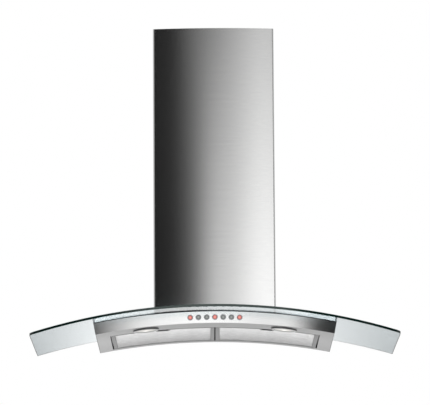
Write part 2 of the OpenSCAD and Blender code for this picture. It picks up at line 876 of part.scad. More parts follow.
hook_x = 55;
hook_half = 12;
hook_z = 25;
hook_t = 2;
module wall_bracket() {
    half = fixing_pitch / 2 + 20;
    color(zinc_colour)
        difference() {
            union() {
                block(-half, half, 0, hook_t, -hook_z, hook_z);
                for (side = [-1, 1]) {
                    block(side * hook_x - hook_half, side * hook_x + hook_half, hook_t - 0.01,
                          box_gap + sheet_t + 1 + hook_t, hook_z - hook_t, hook_z);
                    block(side * hook_x - hook_half, side * hook_x + hook_half,
                          box_gap + sheet_t + 1, box_gap + sheet_t + 1 + hook_t, hook_z - hook_t, hook_z + 8);
                }
            }
            for (side = [-1, 1])
                translate([side * fixing_pitch / 2, 1, 0])
                    rotate([90, 0, 0])
                        cylinder(r = fixing_hole_r, h = 2 * hook_t + 2, $fn = round_fn);
        }
}

// Folded sheet box that carries the blower and hangs on the wall bracket
module blower_box() {
    color(zinc_colour)
        difference() {
            block(-box_w / 2, box_w / 2, box_gap, box_front, glass_z - 20, box_top);
            along_depth(far, -1)
                translate([0, arch_z])
                    circle(r = top_r + 0.1, $fn = arch_fn);
            difference() {
                block(-box_w / 2 + sheet_t, box_w / 2 - sheet_t, box_gap + sheet_t, box_front - sheet_t,
                      glass_z - 30, box_top - sheet_t);
                difference() {
                    along_depth(far, -1)
                        translate([0, arch_z])
                            circle(r = top_r + 0.1 + sheet_t, $fn = arch_fn);
                    block(-air_w / 2, air_w / 2, box_gap + flange_w, box_front - flange_w,
                          glass_z - 60, glass_z + 60);
                }
            }
            for (side = [-1, 1], d = box_screw_d)
                on_arch(side * box_screw_x, d, top_r)
                    cylinder(r = box_screw_r + screw_fit, h = 8 * sheet_t, center = true, $fn = round_fn);
            for (side = [-1, 1])
                block(side * hook_x - hook_half - 1, side * hook_x + hook_half + 1, box_gap - 1,
                      box_gap + sheet_t + 1, hook_z - 14, hook_z + 0.2);
            translate([0, -collar_d, box_top - 5])
                cylinder(r = collar_r - collar_t - 4, h = 10, $fn = 2 * round_fn);
            collar_screw_places()
                cylinder(r = box_screw_r + screw_fit, h = 20, center = true, $fn = round_fn);
            for (side = [-1, 1], d = scroll_screw_d)
                translate([side * scroll_screw_x, -d, box_top])
                    cylinder(r = box_screw_r + screw_fit, h = 20, center = true, $fn = round_fn);
        }
}

// Spiral of the scroll: its radius grows evenly from the tongue round to the outlet
function spiral_r(a) = scroll_min_r + (scroll_max_r - scroll_min_r) * (a - tongue_a) / (360 - tongue_a);
spiral_steps = 26;

module scroll_outline(grow, top) {
    polygon(concat(
        [for (k = [0 : spiral_steps])
            let (a = tongue_a + (360 - tongue_a) * k / spiral_steps)
                [blower_d + (spiral_r(a) + grow) * cos(a), blower_z + (spiral_r(a) + grow) * sin(a)]],
        [[blower_d + scroll_max_r + grow, top], [blower_d + outlet_in - grow, top],
         [blower_d + outlet_in - grow, blower_z + spiral_r(tongue_a) * sin(tongue_a)]]
    ));
}

scroll_screw_x = scroll_w / 2 - 8;
scroll_screw_d = [blower_d + outlet_in - 9, blower_d + scroll_max_r + 9];
inlet_r = impeller_r - blade_len + 1;

// Half of the scroll, from the middle plane to its side wall with the flared air inlet
module scroll(side) {
    top = box_top - sheet_t - 0.1;
    lo = side > 0 ? 0.05 : -scroll_w / 2;
    hi = side > 0 ? scroll_w / 2 : -0.05;
    color("#3a3d40")
        difference() {
            union() {
                across(lo, hi)
                    scroll_outline(0, top);
                across(lo, hi)
                    translate([blower_d + outlet_in - 18, top - 3])
                        square([scroll_max_r - outlet_in + 36, 3]);
                translate([side * scroll_w / 2, -blower_d, blower_z])
                    rotate([0, side * -90, 0])
                        cylinder(r1 = inlet_r + 7, r2 = inlet_r + 2, h = 7, $fn = 2 * round_fn);
            }
            across(side > 0 ? -1 : -scroll_w / 2 + scroll_t, side > 0 ? scroll_w / 2 - scroll_t : 1)
                scroll_outline(-scroll_t, top + 1);
            translate([side * (scroll_w / 2 + 1), -blower_d, blower_z])
                rotate([0, side * -90, 0])
                    rotate_extrude($fn = 2 * round_fn)
                        polygon([[0, 0], [inlet_r + 6, 0], [inlet_r + 2, 3], [inlet_r, 6], [inlet_r, 12], [0, 12]]);
            for (d = scroll_screw_d)
                translate([side * scroll_screw_x, -d, top])
                    cylinder(r = box_screw_r + screw_fit, h = 20, center = true, $fn = round_fn);
            motor_screw_places()
                cylinder(r = 1.6, h = 30, center = true, $fn = 24);
        }
}

// One forward-curved blade in side view, as a bent strip from the inner to the outer radius
module blade() {
    steps = 6;
    inner = impeller_r - blade_len;
    function lean(t) = 11 * t * t - 3 * t;
    function at(t, w) = let (r = inner + blade_len * t) [r * cos(lean(t)) - w, r * sin(lean(t)) + w * 0.4];
    polygon(concat(
        [for (k = [0 : steps]) at(k / steps, blade_t / 2)],
        [for (k = [steps : -1 : 0]) at(k / steps, -blade_t / 2)]
    ));
}

module impeller() {
    half = impeller_w / 2;
    ring_w = 2;
    color("#4a4e52")
        translate([0, -blower_d, blower_z])
            rotate([90, 0, -90])
                difference() {
                    union() {
                        for (i = [0 : blade_n - 1])
                            rotate([0, 0, 360 * i / blade_n])
                                translate([0, 0, -half])
                                    linear_extrude(height = impeller_w)
                                        blade();
                        for (z = [-half, half - ring_w])
                            translate([0, 0, z])
                                difference() {
                                    cylinder(r = impeller_r + 0.5, h = ring_w, $fn = 2 * round_fn);
                                    translate([0, 0, -1])
                                        cylinder(r = impeller_r - blade_len + 0.5, h = ring_w + 2,
                                                 $fn = 2 * round_fn);
                                }
                        translate([0, 0, -1])
                            cylinder(r = impeller_r, h = 2, $fn = 2 * round_fn);
                        translate([0, 0, -8])
                            cylinder(r = 12, h = 10, $fn = round_fn);
                    }
                    cylinder(r = shaft_r, h = 40, center = true, $fn = round_fn);
                }
}

motor_end = -scroll_w / 2 - 1;
module motor() {
    nose = motor_end + motor_len;
    color("#85898c")
        translate([motor_end, -blower_d, blower_z])
            rotate([0, 90, 0])
                difference() {
                    rotate_extrude($fn = 2 * round_fn)
                        polygon([
                            [0, 0], [motor_r - 5, 0], [motor_r - 1, 2], [motor_r, 5], [motor_r, motor_len - 12],
                            [motor_r - 2, motor_len - 8], [motor_r - 10, motor_len - 5],
                            [14, motor_len - 3], [12, motor_len], [0, motor_len]
                        ]);
                    translate([0, 0, motor_len - 16])
                        cylinder(r = shaft_r + running, h = 20, $fn = round_fn);
                    for (k = [0 : 7])
                        rotate([0, 0, 45 * k])
                            translate([motor_r - 14, 0, -1])
                                cylinder(r = 4, h = 5, $fn = 32);
                }
}

module motor_shaft() {
    color("#d0d2d4")
        translate([motor_end + motor_len - 15, -blower_d, blower_z])
            rotate([0, 90, 0])
                cylinder(r = shaft_r - 0.01, h = -motor_end - motor_len + 15 + 6, $fn = round_fn);
}

bracket_reach = inlet_r + 14;
module motor_screw_places() {
    for (a = [30, 150, 270])
        translate([-scroll_w / 2, -blower_d + bracket_reach * cos(a), blower_z + bracket_reach * sin(a)])
            rotate([0, 90, 0])
                children();
}

// Clamp ring round the motor with three arms to the scroll's side
module motor_bracket() {
    ring_r = motor_r + 4;
    x0 = -scroll_w / 2 - clamp_w / 5;
    color("#5c6063")
        difference() {
            union() {
                translate([x0, -blower_d, blower_z])
                    rotate([0, 90, 0])
                        cylinder(r = ring_r, h = clamp_w, $fn = 2 * round_fn);
                for (a = [30, 150, 270])
                    translate([x0, -blower_d, blower_z])
                        rotate([a, 0, 0])
                            bracket_arm(ring_r);
            }
            translate([x0 - 1, -blower_d, blower_z])
                rotate([0, 90, 0])
                    cylinder(r = motor_r + 0.1, h = 2 * clamp_w, $fn = 2 * round_fn);
            motor_screw_places()
                cylinder(r = 1.8, h = 30, center = true, $fn = 24);
        }
}

// Arm of the motor bracket along -Y, with a round end
module bracket_arm(ring_r) {
    arm_t = clamp_w / 5 - 0.2;
    end_r = 6;
    translate([0, -bracket_reach, -end_r])
        cube([arm_t, bracket_reach - ring_r + 2, 2 * end_r]);
    translate([0, -bracket_reach, 0])
        rotate([0, 90, 0])
            cylinder(r = end_r, h = arm_t, $fn = round_fn);
}

module collar_screw_places() {
    for (a = [43, 137, 223, 317])
        translate([(collar_r + 5) * cos(a), -collar_d + (collar_r + 5) * sin(a), box_top + collar_t])
            children();
}

// Round outlet with a foot, the damper's stop ring and the holes of its pin
module outlet_collar() {
    foot = 9;
    stop_w = 4;
    stop_top = damper_h - flap_t / 2 - fit;
    color(zinc_colour)
        difference() {
            translate([0, -collar_d, box_top + 0.05])
                rotate_extrude($fn = 2 * round_fn)
                    polygon([
                        [collar_r - collar_t, 0], [collar_r + foot, 0], [collar_r + foot, collar_t],
                        [collar_r, collar_t], [collar_r, collar_h], [collar_r - collar_t, collar_h],
                        [collar_r - collar_t, stop_top], [collar_r - collar_t - stop_w, stop_top],
                        [collar_r - collar_t - stop_w, stop_top - 1.2], [collar_r - collar_t, stop_top - 1.2]
                    ]);
            translate([0, -collar_d, damper_z])
                rotate([0, 90, 0])
                    cylinder(r = damper_pin_r + running, h = 4 * collar_r, center = true, $fn = round_fn);
            collar_screw_places()
                cylinder(r = box_screw_r + screw_fit, h = 20, center = true, $fn = round_fn);
        }
}

module damper_pin() {
    color("#d0d2d4")
        translate([0, -collar_d, damper_z])
            rotate([0, 90, 0])
                cylinder(r = damper_pin_r, h = 2 * collar_r - 0.4, center = true, $fn = round_fn);
}

// Half-round flap with two knuckles on the pin; side 1 is the front one
module damper_flap(side) {
    flap_r = collar_r - collar_t - 1;
    knuckle_r = damper_pin_r + 1.4;
    knuckle_l = 16;
    starts = side > 0 ? [-60, 22] : [-38.5, 43.5];
    color("#b9bcbe")
        translate([0, -collar_d, damper_z])
            difference() {
                union() {
                    intersection() {
                        cylinder(r = flap_r, h = flap_t, center = true, $fn = 2 * round_fn);
                        translate([-2 * flap_r, side > 0 ? -2 * flap_r - knuckle_r - 0.4 : knuckle_r + 0.4, -5])
                            cube([4 * flap_r, 2 * flap_r, 10]);
                    }
                    for (x = starts) {
                        translate([x, 0, 0])
                            rotate([0, 90, 0])
                                cylinder(r = knuckle_r, h = knuckle_l, $fn = round_fn);
                        translate([x, side > 0 ? -knuckle_r - 1 : 0, -flap_t / 2])
                            cube([knuckle_l, knuckle_r + 1, flap_t]);
                    }
                }
                rotate([0, 90, 0])
                    cylinder(r = damper_pin_r + running, h = 4 * flap_r, center = true, $fn = round_fn);
            }
}

terminal_x = 92;
terminal_d = 42;
terminal_w = 46;
terminal_l = 44;
terminal_h = 30;
terminal_top = box_top + 0.05 + terminal_h;
module terminal_box() {
    wall = 2;
    color(plastic_colour)
        translate([terminal_x - terminal_w / 2, -terminal_d - terminal_l / 2, box_top + 0.05])
            difference() {
                union() {
                    cube([terminal_w, terminal_l, terminal_h - wall + 0.01]);
                    translate([-1, -1, terminal_h - wall])
                        cube([terminal_w + 2, terminal_l + 2, wall]);
                }
                translate([wall, wall, wall])
                    cube([terminal_w - 2 * wall, terminal_l - 2 * wall, terminal_h - 2 * wall]);
                translate([terminal_w / 2, terminal_l / 2, terminal_h - 2 * wall])
                    cylinder(r = gland_hole_r + 3, h = 3 * wall, $fn = round_fn);
            }
}

// Cable gland: a flanged sleeve through the lid, with a hexagonal nut on top
module cable_gland() {
    sleeve_r = gland_hole_r + 3 - running;
    color("#55595c")
        translate([terminal_x, -terminal_d, terminal_top])
            difference() {
                union() {
                    translate([0, 0, -6])
                        cylinder(r = sleeve_r, h = 10, $fn = round_fn);
                    translate([0, 0, 0.1])
                        cylinder(r = gland_hole_r + 5.5, h = 5, $fn = 6);
                    translate([0, 0, 5])
                        cylinder(r = gland_hole_r + 3.4, h = 7, $fn = round_fn);
                }
                translate([0, 0, -7])
                    cylinder(r = gland_hole_r, h = 24, $fn = round_fn);
            }
}

module capacitor() {
    color("#dfe1e2")
        translate([-terminal_x, -terminal_d, box_top + 0.05])
            rotate_extrude($fn = round_fn)
                polygon([
                    [0, 0], [capacitor_r, 0], [capacitor_r, capacitor_h - 3], [capacitor_r - 1, capacitor_h - 1],
                    [capacitor_r - 3, capacitor_h - 1], [capacitor_r - 3, capacitor_h - 3], [0, capacitor_h - 3]
                ]);
}

module glass_screws() {
    color("#c0c2c4")
        for (side = [-1, 1], d = glass_screw_d)
            on_arch(side * glass_screw_x, d, arch_r)
                translate([0, 0, glass_t + 1.7])
                    screw(glass_screw_r, glass_t + seal_t + 1.7 + 6);
}

// Nylon bushes that keep the screws off the glass
module glass_washers() {
    color("#e6e6e2")
        for (side = [-1, 1], d = glass_screw_d)
            on_arch(side * glass_screw_x, d, arch_r)
                difference() {
                    union() {
                        translate([0, 0, glass_t + 0.1])
                            cylinder(r = 7.5, h = 1.5, $fn = round_fn);
                        translate([0, 0, 0.1])
                            cylinder(r = glass_hole_r - 0.2, h = glass_t + 0.1, $fn = round_fn);
                    }
                    translate([0, 0, -1])
                        cylinder(r = glass_screw_r + screw_fit, h = glass_t + 4, $fn = round_fn);
                }
}

module box_screws() {
    color("#c0c2c4")
        for (side = [-1, 1], d = box_screw_d)
            on_arch(side * box_screw_x, d, top_r)
                translate([0, 0, sheet_t + 0.2])
                    screw(box_screw_r, 2 * sheet_t + 6);
}

module collar_screws() {
    color("#c0c2c4")
        collar_screw_places()
            translate([0, 0, 0.1])
                screw(box_screw_r, collar_t + sheet_t + 4);
}

module scroll_screws() {
    color("#c0c2c4")
        for (side = [-1, 1], d = scroll_screw_d)
            translate([side * scroll_screw_x, -d, box_top + 0.05])
                screw(box_screw_r, sheet_t + 3.5);
}

glass_canopy();
glass_seal();
canopy_housing();
control_fascia();
underside_panel();
filter_ledge();
centre_bar();
switch_housing();
control_board();
button(1);  // button_1
button(2);  // button_2
button(3);  // button_3
button(4);  // button_4
button(5);  // button_5
button(6);  // button_6
button(7);  // button_7
lamp_bezel(-1);  // lamp_bezel_left
lamp_bezel(1);  // lamp_bezel_right
lamp_lens(-1);  // lamp_lens_left
lamp_lens(1);  // lamp_lens_right
lamp_holder(-1);  // lamp_holder_left
lamp_holder(1);  // lamp_holder_right
lamp_bulbs();
lamp_transformer();
filter_frame(-1);  // filter_frame_left
filter_frame(1);  // filter_frame_right
filter_mesh(-1);  // filter_mesh_left
filter_mesh(1);  // filter_mesh_right
filter_latch(-1);  // filter_latch_left
filter_latch(1);  // filter_latch_right
chimney_lower();
chimney_upper();
chimney_stops();
upper_wall_bracket();
bracket_screws();
wall_bracket();
blower_box();
scroll(-1);  // scroll_left
scroll(1);  // scroll_right
impeller();
motor();
motor_shaft();
motor_bracket();
outlet_collar();
damper_pin();
damper_flap(1);  // damper_flap_front
damper_flap(-1);  // damper_flap_rear
terminal_box();
cable_gland();
capacitor();
glass_screws();
glass_washers();
box_screws();
collar_screws();
scroll_screws();
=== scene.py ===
# Range hood: finishes, filter mesh, button windows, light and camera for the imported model
import math
import bpy
import numpy as np
from mathutils import Matrix, Vector


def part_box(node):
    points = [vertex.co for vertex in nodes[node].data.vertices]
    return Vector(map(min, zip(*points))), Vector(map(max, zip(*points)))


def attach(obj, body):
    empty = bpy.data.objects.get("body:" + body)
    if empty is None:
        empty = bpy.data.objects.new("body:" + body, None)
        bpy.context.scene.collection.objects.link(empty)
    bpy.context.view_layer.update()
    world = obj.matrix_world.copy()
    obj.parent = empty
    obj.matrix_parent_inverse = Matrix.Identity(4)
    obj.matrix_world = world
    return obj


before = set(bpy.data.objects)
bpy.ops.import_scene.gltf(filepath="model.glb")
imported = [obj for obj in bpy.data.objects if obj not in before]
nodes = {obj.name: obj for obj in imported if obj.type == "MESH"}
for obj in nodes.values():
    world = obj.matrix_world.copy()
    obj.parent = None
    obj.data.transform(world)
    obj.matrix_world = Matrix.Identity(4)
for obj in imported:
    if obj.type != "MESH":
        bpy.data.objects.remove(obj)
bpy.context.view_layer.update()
print("model loaded,", len(nodes), "nodes")

noiseLow, noiseHigh = 0.3, 0.7  # nearly all values of a noise lie between these


def toLinear(hexText):
    # sRGB hex to linear: c / 12.92 up to 0.04045, else ((c + 0.055) / 1.055) ^ 2.4
    parts = [int(hexText[k:k + 2], 16) / 255 for k in (1, 3, 5)]
    return tuple(c / 12.92 if c <= 0.04045 else ((c + 0.055) / 1.055) ** 2.4 for c in parts) + (1.0,)


def scaled(colour, by):
    # a linear colour times a number, kept at or below full white
    return tuple(min(1.0, c * by) for c in colour[:3]) + (1.0,)


def grey(level):
    # a linear grey, which may be brighter than white in a light
    return (level, level, level, 1.0)


def addNode(tree, kind, inputs=None, **settings):
    # adds a node, sets its settings, and gives each input a value or a link
    node = tree.nodes.new(kind)
    for name, value in settings.items():
        setattr(node, name, value)
    for name, value in (inputs or {}).items():
        if isinstance(value, bpy.types.NodeSocket):
            tree.links.new(value, node.inputs[name])
        else:
            node.inputs[name].default_value = value
    return node


def calculate(tree, operation, *values):
    # one step of arithmetic on values or links
    return addNode(tree, "ShaderNodeMath", dict(enumerate(values)), operation=operation).outputs[0]


def ramp(tree, value, stops):
    # colour that runs in straight lines through the stops, each a position and a linear colour
    node = addNode(tree, "ShaderNodeValToRGB", {"Fac": value})
    elements = node.color_ramp.elements
    elements[0].position, elements[0].color = stops[0]
    elements[1].position, elements[1].color = stops[-1]
    for position, colour in stops[1:-1]:
        elements.new(position).color = colour
    return node.outputs["Color"]


def spread(tree, value, first, last, ends=(noiseLow, noiseHigh), **settings):
    # first where the value is at the first end, last where it is at the last end, a straight line between
    return addNode(tree, "ShaderNodeMapRange", {
        "Value": value, "From Min": ends[0], "From Max": ends[1], "To Min": first, "To Max": last},
        **settings).outputs[0]


def noise(tree, place, sizeMm, detail=2.0):
    # noise with cells of the given size, at places in metres
    return addNode(tree, "ShaderNodeTexNoise", {
        "Vector": place, "Scale": 1000 / sizeMm, "Detail": detail}).outputs["Fac"]


def blend(tree, share, first, second):
    # first x (1 - share) + second x share
    return addNode(tree, "ShaderNodeMix", {0: share, 6: first, 7: second}, data_type="RGBA").outputs[2]


def objectPlace(tree):
    # place on the piece in metres, the same in every pose
    return addNode(tree, "ShaderNodeTexCoord").outputs["Object"]


def newMaterial(name):
    # an empty node material and its tree
    material = bpy.data.materials.new(name)
    material.use_nodes = True
    material.node_tree.nodes.clear()
    return material, material.node_tree


def metal(tree, tone, roughness, **inputs):
    # ends a metal's tree; the names of more inputs have an underscore for each blank
    more = {name.replace("_", " "): value for name, value in inputs.items()}
    shader = addNode(tree, "ShaderNodeBsdfPrincipled", {
        "Base Color": tone, "Metallic": 1.0, "Roughness": roughness, **more})
    addNode(tree, "ShaderNodeOutputMaterial", {"Surface": shader.outputs[0]})


def dress(material, *names):
    # gives the material to every slot of the named nodes
    for name in names:
        for slot in nodes[name].material_slots:
            slot.material = material


def gridFaces(rows, columns):
    # quads between neighbouring points of a rows x columns grid whose last column meets the first
    row, column = np.meshgrid(np.arange(rows - 1), np.arange(columns), indexing="ij")
    following = (column + 1) % columns
    corners = [row * columns + column, row * columns + following,
               (row + 1) * columns + following, (row + 1) * columns + column]
    return np.stack(corners, axis=-1).reshape(-1, 4)


def newPiece(name, points, faces, body, material, smooth=False):
    # a finished mesh at the origin that rides on a body; points are in metres, one to a row
    mesh = bpy.data.meshes.new(name)
    mesh.from_pydata(points.tolist(), [], faces)
    mesh.polygons.foreach_set("use_smooth", [smooth] * len(mesh.polygons))
    mesh.materials.append(material)
    mesh.update()
    piece = bpy.data.objects.new(name, mesh)
    bpy.context.scene.collection.objects.link(piece)
    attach(piece, body)
    return piece


# brush lines; the broad ones are drawn coarser than life so that they show at this size
brush = {"fineMm": 0.5, "fineLengthMm": 90.0, "fineShare": 0.4,
         "broadMm": 2.5, "broadLengthMm": 600.0, "broadShare": 0.6, "roughnessSpread": 0.01}
chimney = {"light": "#cacac9", "dark": "#c5c5c5", "roughness": 0.25}  # cool grey, soft upright reflections
fascia = {"light": "#d2d2d1", "dark": "#cecece", "roughness": 0.2}  # a little brighter and sharper
pan = {"light": "#bbbbbb", "dark": "#b0b0b0", "roughness": 0.34}  # darker and more even


def brushedMetal(name, light, dark, roughness, along="X", anisotropy=0.6):
    # belt brushed in one direction: fine parallel lines, and reflections drawn out across them;
    # tone and roughness follow broadShare x broad lines + fineShare x fine lines
    material, tree = newMaterial(name)
    place = objectPlace(tree)
    lines = {}
    for kind, detail in (("fine", 3.0), ("broad", 2.0)):
        scale = [1000 / brush[kind + ("LengthMm" if axis == along else "Mm")] for axis in "XYZ"]
        stretched = addNode(tree, "ShaderNodeMapping", {"Vector": place, "Scale": scale}).outputs[0]
        lines[kind] = noise(tree, stretched, 1000, detail)
    finePart = calculate(tree, "MULTIPLY", lines["fine"], brush["fineShare"])
    both = calculate(tree, "MULTIPLY_ADD", lines["broad"], brush["broadShare"], finePart)
    tone = ramp(tree, both, [(noiseLow, toLinear(dark)), (noiseHigh, toLinear(light))])
    rough = spread(tree, both, roughness * (1 + brush["roughnessSpread"]),
                   roughness * (1 - brush["roughnessSpread"]))
    tangent = addNode(tree, "ShaderNodeTangent", direction_type="RADIAL", axis="Z")
    metal(tree, tone, rough, Anisotropic=anisotropy, Anisotropic_Rotation=0.25, Tangent=tangent.outputs[0])
    return material


dress(brushedMetal("stainless steel, brushed across", **chimney),
      "chimney_lower", "chimney_upper", "canopy_housing")
dress(brushedMetal("stainless steel fascia, brushed along", **fascia), "control_fascia")
dress(brushedMetal("stainless steel underside, brushed along", **pan), "underside_panel", "filter_ledge")
print("stainless done")

glass = {"tint": "#d6e2e6", "edge": "#17302b", "roughness": 0.02, "edgeRoughness": 0.12, "edgeClear": 0.25,
         "refraction": 1.52, "edgeLean": (0.6, 0.5)}


def toughenedGlass():
    # float glass, toughened: near clear through its thickness, deep green along the polished edge;
    # a face is edge where the upright part of its normal, |z|, falls below edgeLean
    material, tree = newMaterial("toughened float glass, polished edge")
    shape = addNode(tree, "ShaderNodeNewGeometry")
    normal = addNode(tree, "ShaderNodeSeparateXYZ", {"Vector": shape.outputs["True Normal"]})
    isEdge = spread(tree, calculate(tree, "ABSOLUTE", normal.outputs["Z"]), 0.0, 1.0, glass["edgeLean"])
    plate = addNode(tree, "ShaderNodeBsdfPrincipled", {
        "Base Color": toLinear(glass["tint"]), "Roughness": glass["roughness"], "IOR": glass["refraction"],
        "Transmission Weight": 1.0})
    edge = addNode(tree, "ShaderNodeBsdfPrincipled", {
        "Base Color": toLinear(glass["edge"]), "Roughness": glass["edgeRoughness"], "IOR": glass["refraction"],
        "Transmission Weight": glass["edgeClear"]})
    both = addNode(tree, "ShaderNodeMixShader", {0: isEdge, 1: plate.outputs[0], 2: edge.outputs[0]})
    addNode(tree, "ShaderNodeOutputMaterial", {"Surface": both.outputs[0]})
    return material


# what all moulded surfaces share: clouds of tone and of roughness, and the height of their grain
moulded = {"cloudMm": 45.45, "toneEnds": (0.35, 0.65), "toneDrift": 0.08, "roughnessDrift": 0.1,
           "reliefMm": 0.3}
rubber = {"colour": "#17181a", "roughness": 0.7, "grainMm": 0.6, "bump": 0.1}  # dull black line


def mouldedSurface(name, colour, roughness, grainMm=0.8, bump=0.12, metallic=0.0, gloss=0.5):
    # injection moulded, cast or coated: an even tone that drifts a little, under a fine leathery grain
    material, tree = newMaterial(name)
    place = objectPlace(tree)
    grain = noise(tree, place, grainMm)
    cloud = noise(tree, place, moulded["cloudMm"], 3.0)
    low, high = moulded["toneEnds"]
    tone = ramp(tree, cloud, [(low, scaled(toLinear(colour), 1 - moulded["toneDrift"])),
                              (high, scaled(toLinear(colour), 1 + moulded["toneDrift"]))])
    rough = spread(tree, cloud, roughness * (1 - moulded["roughnessDrift"]),
                   min(1.0, roughness * (1 + moulded["roughnessDrift"])))
    relief = addNode(tree, "ShaderNodeBump", {
        "Height": grain, "Strength": bump, "Distance": moulded["reliefMm"] / 1000})
    shader = addNode(tree, "ShaderNodeBsdfPrincipled", {
        "Base Color": tone, "Metallic": metallic, "Roughness": rough, "Normal": relief.outputs[0],
        "Specular IOR Level": gloss})
    addNode(tree, "ShaderNodeOutputMaterial", {"Surface": shader.outputs[0]})
    return material


dress(toughenedGlass(), "glass_canopy")
dress(mouldedSurface("black rubber seal", **rubber), "glass_seal")
print("glass done")

filterFrame = {"light": "#868686", "dark": "#7c7c7d", "roughness": 0.36}  # mid grey bars round the mesh
filterGrid = {"light": "#d6d6d5", "dark": "#c6c6c5", "roughness": 0.42}  # pale behind the mesh
latch = {"colour": "#1b1c1e", "roughness": 0.8, "gloss": 0.1}  # dull near-black tab
dress(brushedMetal("anodised aluminium frame", **filterFrame, anisotropy=0.3),
      "filter_frame_left", "filter_frame_right")
dress(brushedMetal("pressed aluminium grid", **filterGrid, along="Y", anisotropy=0.2),
      "filter_mesh_left", "filter_mesh_right")
dress(mouldedSurface("dark grey moulded latch", **latch), "filter_latch_left", "filter_latch_right")

# the front mesh layer of each filter, in millimetres; margins are from the edges of the filter's frame,
# and at the back from the end of its lip
screen = {"innerMargin": 9.2, "outerMargin": 9.1, "frontMargin": 9.2, "backMargin": 18.2,
          "pocketHalf": 15.0, "pocketDeep": 14.3,  # space left for the latch, at the middle of the front
          "archRadius": 1581.0, "archTop": -180.0,  # underside of the filters
          "above": 0.15, "cell": 5.0, "strand": 1.3, "thick": 1.1,
          # the share of the mesh's tone left at the back of the filters, lowered there as painted shade
          "light": "#eaeaea", "dark": "#dddddd", "backShadePainted": 0.7, "driftMm": 16.67, "roughness": (0.5, 0.4)}
filterLow, filterHigh = (1000 * np.array(corner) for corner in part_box("filter_frame_right"))
opening = {"inner": filterLow[0] + screen["innerMargin"], "outer": filterHigh[0] - screen["outerMargin"],
           "front": -filterLow[1] - screen["frontMargin"], "back": -filterHigh[1] + screen["backMargin"]}


def expandedAluminium():
    # aluminium foil slit and stretched into diamonds: bright and a little rough, with a tone that drifts;
    # painted shade darkens it in a straight line from the front of the filters to their back
    material, tree = newMaterial("expanded aluminium mesh")
    place = objectPlace(tree)
    drift = noise(tree, place, screen["driftMm"], 3.0)
    tone = ramp(tree, drift, [(noiseLow, toLinear(screen["dark"])), (noiseHigh, toLinear(screen["light"]))])
    depth = addNode(tree, "ShaderNodeSeparateXYZ", {"Vector": place}).outputs["Y"]
    # painted shade: the tone times 1 at the front of the filters, falling to the back share at their back
    paintedShade = spread(tree, depth, 1.0, screen["backShadePainted"], (-opening["front"] / 1000, -opening["back"] / 1000))
    shaded = addNode(tree, "ShaderNodeVectorMath", {0: tone, "Scale": paintedShade}, operation="SCALE")
    metal(tree, shaded.outputs[0], spread(tree, drift, *screen["roughness"]))
    return material


def weave(side, row, x, sign, pitch):
    # strands of the given rows through the given x: each swings by half a cell in depth,
    # d = middle of its row + sign x swing, and is a ribbon of four corners whose height follows the arch,
    # z = centre + sqrt((radius + h)^2 - x^2); returns points in metres and faces
    middle = opening["back"] + (row[:, None] + 0.5) * pitch + sign * (pitch - screen["strand"]) / 2
    across = np.array([-0.5, 0.5, 0.5, -0.5]) * screen["strand"]
    upward = np.array([0.0, 0.0, 1.0, 1.0]) * screen["thick"] + screen["above"]
    count = len(x)
    wide = side * np.broadcast_to(x[None, :, None], (len(row), count, 4))
    deep = -(middle[:, :, None] + across)
    centre = screen["archTop"] - screen["archRadius"]
    high = centre + np.sqrt((screen["archRadius"] + upward) ** 2 - wide ** 2)
    points = np.stack([wide, deep, high], axis=-1).reshape(-1, 3) / 1000
    last = count * 4
    strand = np.concatenate([gridFaces(count, 4), [[0, 1, 2, 3], [last - 1, last - 2, last - 3, last - 4]]])
    faces = (strand[None] + (np.arange(len(row)) * last)[:, None, None]).reshape(-1, 4)
    return points, faces if side > 0 else faces[:, ::-1]


def filterScreen(side, material):
    # diamonds of strands that run sideways: neighbouring rows and stations swing in turn to front and back;
    # the rows beside the latch stop at its pocket, so that it stays open
    rows = int((opening["front"] - opening["back"]) / screen["cell"])
    stations = 2 * int((opening["outer"] - opening["inner"]) / screen["cell"]) + 1
    pitch = (opening["front"] - opening["back"]) / rows
    row = np.arange(rows)
    x = np.linspace(opening["inner"], opening["outer"], stations)
    sign = np.where((row[:, None] + np.arange(stations)[None, :]) % 2 == 0, 1.0, -1.0)
    beside = opening["back"] + (row + 1) * pitch > opening["front"] - screen["pocketDeep"]
    middle = (opening["inner"] + opening["outer"]) / 2
    pocket = [middle - screen["pocketHalf"], middle + screen["pocketHalf"]]
    inner, outer = np.searchsorted(x, pocket)
    innerX, outerX = np.append(x[:inner], pocket[0]), np.insert(x[outer:], 0, pocket[1])
    parts = [weave(side, row[~beside], x, sign[~beside], pitch),
             weave(side, row[beside], innerX, sign[beside][:, :inner + 1], pitch),
             weave(side, row[beside], outerX, sign[beside][:, outer - 1:], pitch)]
    starts = np.cumsum([0] + [len(points) for points, faces in parts[:-1]])
    points = np.concatenate([points for points, faces in parts])
    faces = np.concatenate([faces + start for (points, faces), start in zip(parts, starts)])
    name = "left" if side < 0 else "right"
    return newPiece("filter_screen_" + name, points, faces.tolist(), "filter_" + name, material)


screenMaterial = expandedAluminium()
filterScreen(-1, screenMaterial)
filterScreen(1, screenMaterial)
print("filters done")

# rim: a darker grey round the ring's outer edge, painted shade of the gap round the ring
bezel = {"face": "#bdbdbd", "rim": "#606061", "rimAt": 0.97, "rimBlur": 0.02, "roughness": 0.3,
         "roughnessDrift": 0.1, "cloudMm": 6.67}
# glow of the lit lens, in parts of full white at parts of its radius
lens = {"glass": "#f1efea", "light": "#fffdf8", "strength": 0.8, "middle": 0.95, "middleAt": 0.05,
        "shoulder": 0.35, "shoulderAt": 0.35, "rim": 0.1,
        "prismMm": 2.632, "bump": 0.3, "reliefMm": 0.6, "roughness": 0.25}


